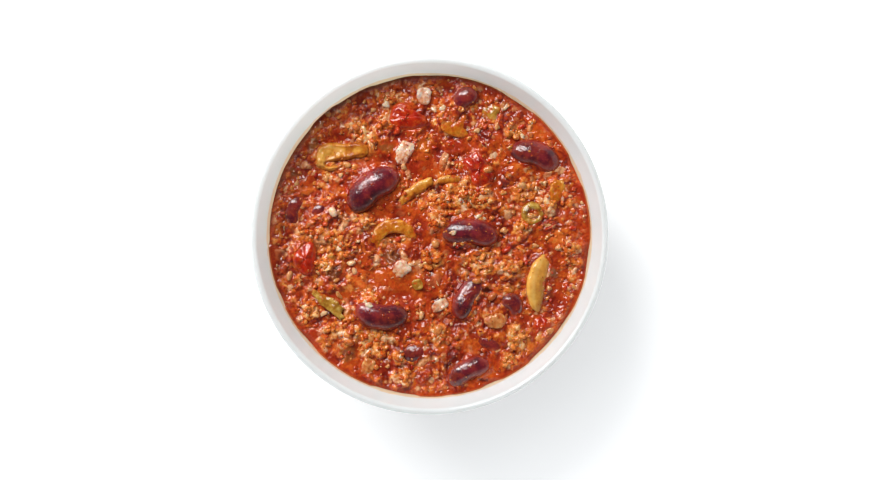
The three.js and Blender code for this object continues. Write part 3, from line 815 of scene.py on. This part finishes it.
# The stew's surface: soft lumps, chunks and grains under a wet skin, calmer near the wall
grains = table("spacing height width share seed", [
    (5.6, 0.7, 0.7, 0.45, 31),
    (3.0, 0.8, 0.64, 0.55, 32),
    (2.0, 0.55, 0.66, 0.6, 33),
    (1.2, 0.26, 0.68, 0.4, 34),
])
# and the knobs of the minced beef, which only show in its heaps
knobs = {"spacing": 2.1, "height": 0.75, "width": 0.78, "seed": 35}
# thin winding ridges, from fibres of meat and the edges of skins
ridges = {"spacing": 2.0, "height": 0.38, "sharpness": 7, "seed": 52}
# and channels of thinner, deeper red sauce between the lumps
channels = {"spacing": 3.6, "depth": 0.25, "seed": 54}


def sauceFields(x, y):
    flat = np.column_stack([x, y, 0 * x])
    driftX, driftY = [softNoise(flat, 2.4, seed) + 0.5 * softNoise(flat, 0.9, seed + 5) for seed in (41, 42)]
    fields = {kind: spotShare(kind, x + driftX * 1.3, y + driftY * 1.3) for kind in sauceSpots}
    beef = minceShare(x + driftX * 0.9, y + driftY * 0.9)
    smooth = np.maximum(easeStep(0.1, 0.6, softNoise(flat, 7, 44)) * 0.85,
                        0.9 * np.maximum(fields["ruby"], fields["amber"])) * (1 - beef)
    edge = easeStep(0.955, 0.995, np.hypot(x, y) / stewRadius)
    height, tone, gold, ruby, pale = 0.4 * fields["amber"], 0 * x, 0 * x, 0 * x, 0 * x
    for layer in grains:
        fine = layer["spacing"] < 4
        reach = 0.36 * layer["spacing"] ** 0.8
        away, own = pebbles(x + driftX * reach, y + driftY * reach, layer["spacing"], layer["seed"])
        # a grain's own random number gives its width, height, tone and kind
        width = layer["width"] * (0.65 + 0.55 * (own * 17.3 % 1))
        dome = np.clip(1 - (away / width) ** 2, 0, 1)
        present = own < layer["share"] + 0.4 * beef
        fade = 1 - smooth * (0.85 if fine else 0.3)
        height = height + dome * present * (0.45 + 0.55 * (own * 7.3 % 1)) * layer["height"] * fade
        whole = present * easeStep(0.05, 0.45, dome) * fade
        tone = tone + whole * (own * 3.7 % 1 - 0.38) * (0.34 if fine else 0.16)
        kindOf = own * 5.1 % 1
        if fine:
            gold = np.maximum(gold, whole * (kindOf < 0.14 + 0.42 * beef) * 0.85)
            pale = np.maximum(pale, whole * (kindOf > 0.9 - 0.1 * beef) * 0.85)
        ruby = np.maximum(ruby, whole * ((kindOf > 0.68) & (kindOf < 0.79)) * 0.8)
    away, own = pebbles(x + driftX * 0.4, y + driftY * 0.4, knobs["spacing"], knobs["seed"])
    knob = np.clip(1 - (away / (knobs["width"] * (0.8 + 0.4 * own))) ** 2, 0, 1) ** 0.75
    knob = knob * easeStep(0.2, 0.6, beef)
    height = height * (1 - 0.5 * beef) + knob * knobs["height"] * (0.6 + 0.4 * (own * 7.3 % 1))
    # the knobs are paler and more golden towards their tops: partly the fat and sauce on the meat, partly
    # painted highlight
    tone = tone * (1 - 0.4 * beef) + knob * (0.1 + 0.24 * (own * 3.7 % 1))
    gold = np.maximum(gold, easeStep(0.35, 0.95, knob) * (0.5 + 0.45 * (own * 5.1 % 1)))
    bent = flat + np.column_stack([driftX, driftY, 0 * x]) * 0.5
    ridge = (1 - np.abs(softNoise(bent, ridges["spacing"], ridges["seed"]))) ** ridges["sharpness"]
    ridge = ridge * easeStep(-0.2, 0.4, softNoise(flat, 3.6, 53)) * (1 - 0.7 * smooth)
    height, tone = height + ridge * ridges["height"], tone + ridge * 0.2
    height = height + (softNoise(flat, 0.8, 43) * 0.06 + softNoise(flat, 3.2, 48) * 0.22) * (1 - 0.5 * smooth)
    channel = easeStep(0.15, 0.65, softNoise(flat, channels["spacing"], channels["seed"]))
    channel = channel * (1 - beef) * (1 - fields["amber"])
    height = height - channels["depth"] * channel
    tone = tone + softNoise(flat, 6.5, 49) * 0.15 + softNoise(flat, 1.6, 50) * 0.12 * (1 - 0.6 * smooth)
    tone = tone - 0.2 * channel
    fields["height"] = height * (1 - 0.85 * edge) + 0.4 * beef - 0.5 * fields["deep"]
    # darker along the wall: painted shade where the wall meets the sauce
    fields["tone"] = (tone + 0.1 * fields["amber"]) * (1 - 0.6 * edge) - 0.1 * edge
    fields["gold"] = np.clip(np.maximum(fields["gold"] * 0.9, gold), 0, 1) * (1 - edge)
    fields["pale"] = np.clip(pale, 0, 1) * (1 - edge)
    ruby = np.maximum(np.maximum(fields["ruby"], ruby), 0.6 * channel)
    fields["ruby"] = np.clip(ruby * (1 - fields["gold"]), 0, 1)
    fields["umber"] = fields["umber"] * 0.75
    fields["smooth"] = np.maximum(smooth, edge)
    return fields


# What lies over the sauce's own red: a ramp from dark to light, or one colour
sauceColours = {
    "gold": [(0.05, "#a23a08"), (0.3, "#cb5a12"), (0.55, "#e07a26"), (0.8, "#ee9f50"),
             (1.0, "#f9c88e")],  # fatty mince
    "ruby": [(0.1, "#761608"), (0.45, "#aa2e0e"), (0.75, "#c64c1a"), (1.0, "#e08044")],  # tomato
    "pale": [(0.1, "#b9602a"), (0.4, "#d98f56"), (0.7, "#ebba8c"), (1.0, "#f7dcc0")],  # onion
    "umber": "#8a5226",  # browned meat, and at one spot painted shadow
    "pit": "#641206",  # painted shade in the hollows and deep spots
    "rim": "#e08a4a",  # a line of orange fat where it meets the wall
}


def makeSauce():
    # Meat and tomato sauce: a thick red gravy full of grains, with orange fat on top, and shade painted dark
    # into its hollows
    made = newMaterial("chiliSauce")
    spot = addNode(made, "TexCoord").outputs["Object"]
    share = {name: addNode(made, "Attribute", {"attribute_name": name}).outputs["Fac"]
             for name in ("tone", "smooth", *sauceColours)}
    speckle = addNode(made, "TexNoise", {"Scale": perMetre(0.9), "Detail": 5, "Roughness": 0.7,
                                         "Vector": spot})
    mixed = addNode(made, "Math", {"operation": "MULTIPLY_ADD", 0: speckle, 1: 1.5, 2: -0.75})
    calm = addNode(made, "MapRange", {"To Min": 1.0, "To Max": 0.4, "Value": share["smooth"]})
    shade = addNode(made, "Math", {"operation": "MULTIPLY_ADD", 0: mixed, 1: calm, 2: share["tone"]})
    colour = addNode(made, "ValToRGB", {"stops": sauceShades, "Fac": shade})
    for name, over in sauceColours.items():
        if not isinstance(over, str):
            over = addNode(made, "ValToRGB", {"stops": over, "Fac": shade})
        colour = addNode(made, "Mix", {"data_type": "RGBA", 0: share[name], 6: colour, 7: over})
    fine = addNode(made, "TexNoise", {"Scale": perMetre(0.8), "Detail": 3, "Roughness": 0.6, "Vector": spot})
    bump = addNode(made, "Bump", {"Distance": 0.00025, "Strength": calm, "Height": fine})
    beads = addNode(made, "TexNoise", {"Scale": perMetre(1.9), "Detail": 1, "Roughness": 0.5, "Vector": spot})
    film = addNode(made, "Bump", {"Distance": 0.0011, "Strength": calm, "Height": beads})
    wetSurface(made, colour, 0.4, 0.05, bump, film, clear=0.3)
    return made


# How far places are from the nearest piece, in millimetres, and less than nothing inside one
def distanceTo(tree, x, y, z):
    away = np.full(x.shape, 3.0)
    for i, place in enumerate(zip(x, y, z)):
        found, normal, _, distance = tree.find_nearest(place, 3.0)
        if found is not None:
            away[i] = distance if (Vector(place) - found).dot(normal) > 0 else -distance
    return away


def blurred(grid, reach):
    for axis in (0, 1):
        grid = sum(np.roll(grid, i, axis) for i in range(-reach, reach + 1)) / (2 * reach + 1)
    return grid


def makeStew():
    cells = stew["cells"]
    deselectAll()
    bpy.ops.mesh.primitive_grid_add(x_subdivisions=cells, y_subdivisions=cells, size=2 * mm)
    piece = bpy.context.object
    piece.name = "chiliSauce"
    a, b = placesOf(piece)[:, :2].T
    column, line = [np.round((side + 1) / 2 * cells).astype(int) for side in (a, b)]
    # the square is laid out as a disc with cells of one area all over
    wide = np.abs(a) > np.abs(b)
    ring = np.where(wide, a, b)
    slope = np.where(wide, b, a) / np.where(ring == 0, 1, ring)
    turn = np.where(wide, slope * math.pi / 4, math.pi / 2 - slope * math.pi / 4)
    x, y = ring * np.cos(turn) * stewEdge, ring * np.sin(turn) * stewEdge
    fields = sauceFields(x, y)
    base = surfaceHeight(x, y)
    # it climbs the pieces, here more and there less, and its grains thin out on the way up
    flat = np.column_stack([x, y, 0 * x])
    uneven = softNoise(flat, 3.2, 51)
    relief, climb = fields["height"], 0 * x
    for tree, most in ((thickTree, stew["climbThick"]), (thinTree, stew["climbThin"])):
        away = distanceTo(tree, x, y, base + 0.3)
        lap = most * (0.35 + 0.65 * easeStep(-0.35, 0.5, uneven))
        climb = np.maximum(climb, lap * np.exp(-np.maximum(away, 0) / 0.8) - np.clip(-away - 0.9, 0, 2))
        relief = relief * easeStep(-0.8, 0.7, away)
    # its edge stands a little higher and lower along the wall
    dips = easeStep(-0.3, 0.6, softNoise(flat, 7, 55)) * stew["edgeDips"]
    z = base + relief + climb - dips * easeStep(0.955, 0.995, np.hypot(x, y) / stewEdge)
    grid = np.zeros((cells + 1, cells + 1))
    grid[column, line] = fields["height"]
    # painted shade in the hollows, small ones and wide ones: darker where the surface lies below its blurred
    # surroundings
    pit = sum(np.clip((blurred(grid, reach) - grid) / deep, 0, 1) * much
              for reach, deep, much in ((3, 0.45, 0.6), (9, 0.8, 0.4)))
    movePlaces(piece, x, y, z)
    # sides and bottom, just into the bowl's wall
    startEditing()
    bpy.ops.mesh.region_to_loop()
    last = stewEdge
    for level in (44.5, 38, 30, 22, 14, 9, 7.2):
        radius = wallRadius(level) + stew["intoWall"]
        bpy.ops.mesh.extrude_region_move()
        share = radius / last
        bpy.ops.transform.resize(value=(share, share, 0), center_override=(0, 0, level * mm))
        last = radius
    bpy.ops.mesh.merge(type="CENTER")
    bpy.ops.mesh.select_all(action="SELECT")
    bpy.ops.mesh.normals_make_consistent(inside=False)
    stopEditing()
    extra = np.zeros(len(piece.data.vertices) - len(x))
    setValues(piece, "tone", np.append(np.clip(0.47 + fields["tone"], 0, 1), extra + 0.4))
    # painted shade: the hollows and the deep spots are darkened
    pit = np.clip(pit[column, line] * 0.9 + fields["deep"] * 0.8, 0, 0.95)
    setValues(piece, "pit", np.append(pit, extra))
    for name in ("gold", "ruby", "umber", "pale", "smooth"):
        setValues(piece, name, np.append(fields[name], extra))
    setValues(piece, "rim", np.append(0.4 * easeStep(0.987, 0.996, np.hypot(x, y) / stewEdge), extra))
    finishPiece(piece, makeSauce(), "stew")
    return piece


sauce = makeStew()
print("sauce poured")
sauceTree = treeOf([sauce])


# Crumbs: a few are shaped one by one, and copies of them are joined into one mesh for each kind
def crumbShapes(cuts, roughness, count, seed):
    shapes = []
    for number in range(count):
        crumb = cutCube(cuts)
        places = placesOf(crumb)
        movePlaces(crumb, places / np.linalg.norm(places, axis=1)[:, None] ** 0.85)
        ruffle(crumb, 0.8, roughness, seed + number)
        shapes.append(takeShape(crumb))
    return shapes


def takeShape(piece):
    shape = placesOf(piece), [tuple(face.vertices) for face in piece.data.polygons]
    bpy.data.objects.remove(piece)
    return shape


def joinCopies(name, shapes, spots, material):
    corners, faces, tones, aboves, count = [], [], [], [], 0
    for spot in spots:
        places, sides = shapes[spot["shape"]]
        turn = (Matrix.Rotation(spot["turn"], 3, "Z") @ Matrix.Rotation(spot.get("tilt", 0), 3, "Y")
                @ Matrix.Rotation(spot.get("roll", 0), 3, "X"))
        moved = (places * np.array(spot["size"])) @ np.array(turn).T + np.array(spot["at"])
        corners.append(moved)
        faces.extend(tuple(i + count for i in side) for side in sides)
        tones.append(np.full(len(places), spot["tone"]))
        aboves.append(moved[:, 2] - spot["at"][2] + spot.get("proud", 0.4))
        count += len(places)
    mesh = bpy.data.meshes.new(name)
    mesh.from_pydata((np.concatenate(corners) * mm).tolist(), [], faces)
    piece = bpy.data.objects.new(name, mesh)
    bpy.context.scene.collection.objects.link(piece)
    setValues(piece, "tone", np.concatenate(tones))
    setValues(piece, "above", np.concatenate(aboves))
    finishPiece(piece, material, "stew")
    print(name, len(spots), "pieces", len(faces), "faces")


# The top of what lies at a place, or None where that is a piece and only sauce is wanted
def topAt(x, y, onPieces=False):
    high, down = Vector((float(x), float(y), 70)), Vector((0, 0, -1))
    found = sauceTree.ray_cast(high, down)
    piece = pieceTree.ray_cast(high, down)
    if piece[0] is not None and (found[0] is None or piece[0].z > found[0].z):
        return piece[0].z if onPieces else None
    return found[0].z if found[0] is not None else None


def makeCrumbSkin(name, rough, cling, stops):
    made = newMaterial(name)
    spot = addNode(made, "TexCoord").outputs["Object"]
    tone = addNode(made, "Attribute", {"attribute_name": "tone"}).outputs["Fac"]
    fibre = addNode(made, "TexNoise", {"Scale": perMetre(0.7), "Detail": 4, "Roughness": 0.65,
                                       "Vector": spot})
    shift = addNode(made, "Math", {"operation": "MULTIPLY_ADD", 0: fibre, 1: 0.9, 2: -0.45})
    shade = addNode(made, "Math", {"operation": "ADD", 0: tone, 1: shift})
    colour = addNode(made, "ValToRGB", {"stops": stops, "Fac": shade})
    if cling:
        colour = clingingSauce(made, colour, cling, 1.1)
    bump = addNode(made, "Bump", {"Strength": 0.6, "Distance": 0.0003, "Height": fibre})
    wetSurface(made, colour, rough, 0.08, bump, clear=0.45)
    return made


# Minced beef, browned and stewed: a crumbly, fatty tan with darker fibre, wet with sauce at its foot
minceSkin = makeCrumbSkin("mincedBeef", 0.4, 0.85, [
    (0.1, "#a83608"), (0.35, "#cf5a14"), (0.6, "#e27e2e"), (0.85, "#f0a65a"), (1.0, "#fad09c")])
# The same meat ground fine and dyed by the sauce: every grain wears a wet, orange-red coat
grainSkin = makeCrumbSkin("saucedGrain", 0.4, 0, [
    (0.05, "#861f06"), (0.3, "#b03a0c"), (0.52, "#cc5418"), (0.72, "#de762c"), (0.88, "#eb9a50"),
    (1.0, "#f8c494")])
# Onion, garlic and fat in small pale bits, stained at their edges
paleSkin = makeCrumbSkin("paleOnionBit", 0.35, 0.65, [
    (0.1, "#b85a22"), (0.4, "#d98f4e"), (0.7, "#ecb988"), (1.0, "#f7dcc0")])
# Shreds of tomato and red pepper
redSkin = makeCrumbSkin("tomatoShred", 0.3, 0, [
    (0.1, "#7a1006"), (0.45, "#a81e0a"), (0.75, "#c23612"), (1.0, "#d8602c")])

mince = {"perSpread": 4.6, "smallest": 0.55, "largest": 1.35, "kinds": 8, "seed": 61}


def heapMince():
    dice = np.random.default_rng(mince["seed"])
    spots = []
    for heapX, heapY, spread in minceHeaps:
        for _ in range(int(mince["perSpread"] * spread)):
            angle, reach = dice.random() * 2 * math.pi, spread * 1.15 * dice.random() ** 0.6
            x, y = heapX + math.cos(angle) * reach, heapY + math.sin(angle) * reach * 0.85
            if math.hypot(x, y) > stewRadius - 1.5:
                continue
            top = topAt(x, y, onPieces=dice.random() < 0.04)
            if top is None:
                continue
            size = mince["smallest"] + (mince["largest"] - mince["smallest"]) * dice.random() ** 2
            heaped = 0.5 * max(0, 1 - reach / spread)
            spots.append({
                "at": (x, y, top - size * 0.3 + heaped * dice.random()), "turn": dice.random() * 6.28,
                "tilt": dice.random() * 3, "roll": dice.random() * 3,
                "shape": int(dice.integers(mince["kinds"])),
                "size": (size * (0.8 + 0.8 * dice.random()), size * (0.6 + 0.5 * dice.random()),
                         size * 0.75),
                "tone": 0.25 + 0.5 * dice.random()})
    joinCopies("minceCrumbs", crumbShapes(4, 0.4, mince["kinds"], 200), spots, minceSkin)


heapMince()


# Bits strewn over the whole surface, fewer near the wall. A share of them, onPieces, may lie on pieces, and
# where it is 1 they lie nowhere else
def strew(row):
    dice = np.random.default_rng(row["seed"])
    (smallest, largest), (darkest, lightest) = row["sizes"], row["tones"]
    spots = []
    while len(spots) < row["count"]:
        x, y = (dice.random(2) * 2 - 1) * stewRadius
        reach = math.hypot(x, y)
        if reach > stewRadius - 0.8 or dice.random() < easeStep(0.92, 1, reach / stewRadius) * 0.7:
            continue
        top = topAt(x, y, onPieces=dice.random() < row["onPieces"])
        if top is None or row["onPieces"] == 1 and topAt(x, y) is not None:
            continue
        size = smallest + (largest - smallest) * dice.random() ** 2.2
        spots.append({
            "at": (x, y, top + size * (0.4 * dice.random() - 0.25)), "turn": dice.random() * 6.28,
            "tilt": dice.random() * 0.8 - 0.4, "roll": dice.random() * 0.8 - 0.4,
            "shape": int(dice.integers(len(row["shapes"]))),
            "size": (size * (0.8 + row["stretch"] * dice.random()), size * (0.65 + 0.4 * dice.random()),
                     size * 0.7),
            "tone": darkest + (lightest - darkest) * dice.random()})
    joinCopies(row["name"], row["shapes"], spots, row["skin"])


# Bits that stand out, as x, y, size and tone, and round ones: baby onion, corn and fat. The bits from (-13.9,
# 42.5) to (8.3, -2.7) are pale bits set where the wet food glints: painted highlights
standingBitsAndPaintedGlints = [
    (-43, 16.8, 0.9, 0.5), (-33.1, 18.4, 1.1, 0.45), (-28.4, 19.7, 1.0, 0.6), (-21.3, 4.4, 0.9, 0.5),
    (30, 16.2, 1.1, 0.5), (34.7, 15.4, 0.9, 0.7), (37.4, 16.9, 0.8, 0.6), (38.7, 3.2, 0.9, 0.5),
    (24.1, 1.6, 1.2, 0.5), (-25.2, -8.8, 1.1, 0.7), (-24.4, -11.5, 0.9, 0.6), (-45.3, -13.1, 1.2, 0.5),
    (-39.8, -22.9, 1.2, 0.65), (-34.4, -25.3, 1.1, 0.7), (-29.4, -19.3, 1.0, 0.4), (-2.8, -25.8, 1.2, 0.6),
    (11.4, -9.1, 0.9, 0.5), (38.7, -17, 1.0, 0.5), (42, -4.1, 1.1, 0.55), (34.3, -3.3, 0.9, 0.45),
    # from the last bit on this line to (8.3, -2.7): pale bits set as painted highlights
    (46.9, -16.7, 0.9, 0.4), (15.4, 33.8, 1.1, 0.6), (22, 35.4, 0.9, 0.5), (-13.9, 42.5, 1.3, 0.9),
    (4.4, 41.4, 1.0, 0.85), (1.5, 40.9, 0.9, 0.8), (24.9, 41.8, 0.9, 0.8), (33.1, 36.7, 0.8, 0.8),
    (30.3, 32.2, 0.8, 0.85), (7.6, 0.8, 0.9, 0.8), (8.3, -2.7, 0.6, 0.7), (-19.4, -22.4, 1.1, 0.9),
    (-20.8, -21.6, 0.7, 0.8), (15.9, 6.1, 0.8, 0.9), (18, 5.5, 0.6, 0.9), (33.1, 6.5, 1.0, 0.45),
    (31.4, 8.9, 0.8, 0.95),
]
roundBits = [(-31.2, 7.6, 1.65, 0.85), (2.8, -30.8, 1.75, 0.3), (19, 21.3, 1.2, 0.3), (34.8, 6.9, 1.1, 0.1),
             (15.4, -14.7, 1.2, 0.25), (2, -2.7, 1.3, 0.35), (20.5, -19.8, 1.4, 0.1)]


def placeBits(name, shapes, rows, high, seed):
    dice = np.random.default_rng(seed)
    spots = []
    for x, y, size, tone in rows:
        spots.append({
            "at": (x, y, topAt(x, y, onPieces=True) + size * high), "turn": dice.random() * 6.28,
            "proud": 0.6, "shape": int(dice.integers(len(shapes))), "tone": tone,
            "size": (size * (1 + 0.35 * dice.random()), size * (0.75 + 0.25 * dice.random()), size * 0.8)})
    joinCopies(name, shapes, spots, paleSkin)


placeBits("standingBitsAndPaintedGlints", crumbShapes(4, 0.5, 6, 300), standingBitsAndPaintedGlints, -0.2, 71)
placeBits("roundBits", crumbShapes(6, 0.08, 3, 320), roundBits, 0.0, 72)


# Curled skins and fibres: thin strips along an arc, lying flat, whose pale colour also stands in for curved
# glints: painted highlights
def curlShapes():
    curl = {"length": 3, "width": 0.42, "thick": 0.5, "end": 0.3}
    return [takeShape(stripShape({**curl, "sweep": sweep}, 6, 10)) for sweep in (70, 110, 150)]


scattered = table("name skin slot seed count sizes tones stretch onPieces shapes", [
    ("sauceGrains", grainSkin, "sauce", 62, 650, (0.25, 0.9), (0.25, 0.85), 0.5, 0.03,
     crumbShapes(2, 0.4, 6, 220)),
    ("paleBits", paleSkin, "onion", 63, 80, (0.4, 1.05), (0.1, 0.7), 0.6, 0.04,
     crumbShapes(2, 0.5, 5, 240)),
    ("tomatoShreds", redSkin, "tomato", 64, 40, (0.5, 1.2), (0.3, 0.9), 0.9, 0,
     crumbShapes(2, 0.5, 5, 260)),
    ("clingingGrains", grainSkin, "sauce", 66, 300, (0.12, 0.36), (0.3, 0.85), 0.5, 1,
     crumbShapes(1, 0.3, 5, 280)),
    ("peelCurls", paleSkin, "onion", 65, 110, (0.5, 1.2), (0.1, 0.75), 0.7, 0.03,
     curlShapes()),
])
for row in scattered:
    strew(row)
print("bits strewn")


# Floor: a plain white sweep, part of the stage. Its glow holds a painted shadow: dim under and beside the
# bowl and bright outside of it, in metres
floor = {"size": 3.0, "shade": "#bbbabb", "lit": "#e4e6e8", "from": 0.05, "to": 0.1}


def makeFloor():
    # Matt white board that glows, dimmer near the bowl as a painted shadow, so that only a soft shadow is
    # left beside the bowl
    made = newMaterial("whiteBoard")
    spot = addNode(made, "TexCoord").outputs["Object"]
    reach = addNode(made, "VectorMath", {"operation": "LENGTH", 0: spot})
    lit = addNode(made, "MapRange", {"interpolation_type": "SMOOTHSTEP", "From Min": floor["from"],
                                     "From Max": floor["to"], "Value": reach})
    # painted shadow: the glow is dimmer near the bowl
    glowWithPaintedShadow = addNode(made, "Mix", {"data_type": "RGBA", 0: lit, 6: floor["shade"], 7: floor["lit"]})
    board = addNode(made, "BsdfPrincipled", {"Base Color": "#dedede", "Roughness": 0.9,
                                             "Emission Color": glowWithPaintedShadow, "Emission Strength": 1.0})
    addNode(made, "OutputMaterial", {"Surface": board})
    deselectAll()
    bpy.ops.mesh.primitive_plane_add(size=floor["size"])
    piece = bpy.context.object
    piece.name = "floorBoard"
    piece.data.materials.append(made)


makeFloor()

# Camera: straight above, close to the bowl's axis
camera = {"right": 1.83, "up": -1.41, "overRim": 900, "lens": 116.2}
cameraAt = (camera["right"] * mm, camera["up"] * mm, (bowl["height"] + camera["overRim"]) * mm)
bpy.ops.object.camera_add(location=cameraAt, rotation=(0, 0, 0))
bpy.context.scene.camera = bpy.context.object
bpy.context.object.data.lens = camera["lens"]
bpy.context.object.data.sensor_width = 36

# Lights: a softbox high at the upper left and a lower window beside it, in a studio that is dark overhead.
# Both are aimed at the stew, with sizes and places in metres
softboxes = {
    "aim": (0, 0, 0.045),
    "away": 0.7,
    "rows": table("heading fromVertical wide deep radiance", [
        (114, 35, 0.24, 0.2, 16.6),
        (134, 55, 0.3, 0.22, 17.2),
    ]),
}
for row in softboxes["rows"]:
    heading, fromVertical = row["heading"] * degrees, row["fromVertical"] * degrees
    way = Vector((math.cos(heading) * math.sin(fromVertical), math.sin(heading) * math.sin(fromVertical),
                  math.cos(fromVertical)))
    bpy.ops.object.light_add(type="AREA", location=way * softboxes["away"] + Vector(softboxes["aim"]))
    light = bpy.context.object
    light.rotation_euler = way.to_track_quat("Z", "Y").to_euler()
    light.data.shape = "RECTANGLE"
    light.data.size, light.data.size_y = row["wide"], row["deep"]
    light.data.energy = row["radiance"] * math.pi * row["wide"] * row["deep"]

studio = {"overhead": "#757575", "walls": "#ffffff", "strength": 0.47}
world = bpy.data.worlds.new("studio")
bpy.context.scene.world = world
world.use_nodes = True
world.node_tree.nodes.clear()
spot = addNode(world, "TexCoord").outputs["Generated"]
upward = addNode(world, "SeparateXYZ", {"Vector": spot}).outputs["Z"]
fade = addNode(world, "ValToRGB", {"Fac": upward, "stops": [(0.0, studio["walls"]), (0.25, studio["walls"]),
                                                            (0.6, studio["overhead"])]})
sky = addNode(world, "Background", {"Strength": studio["strength"], "Color": fade})
addNode(world, "OutputWorld", {"Surface": sky})
bpy.context.scene.view_settings.view_transform = "Standard"

print("lit and ready")
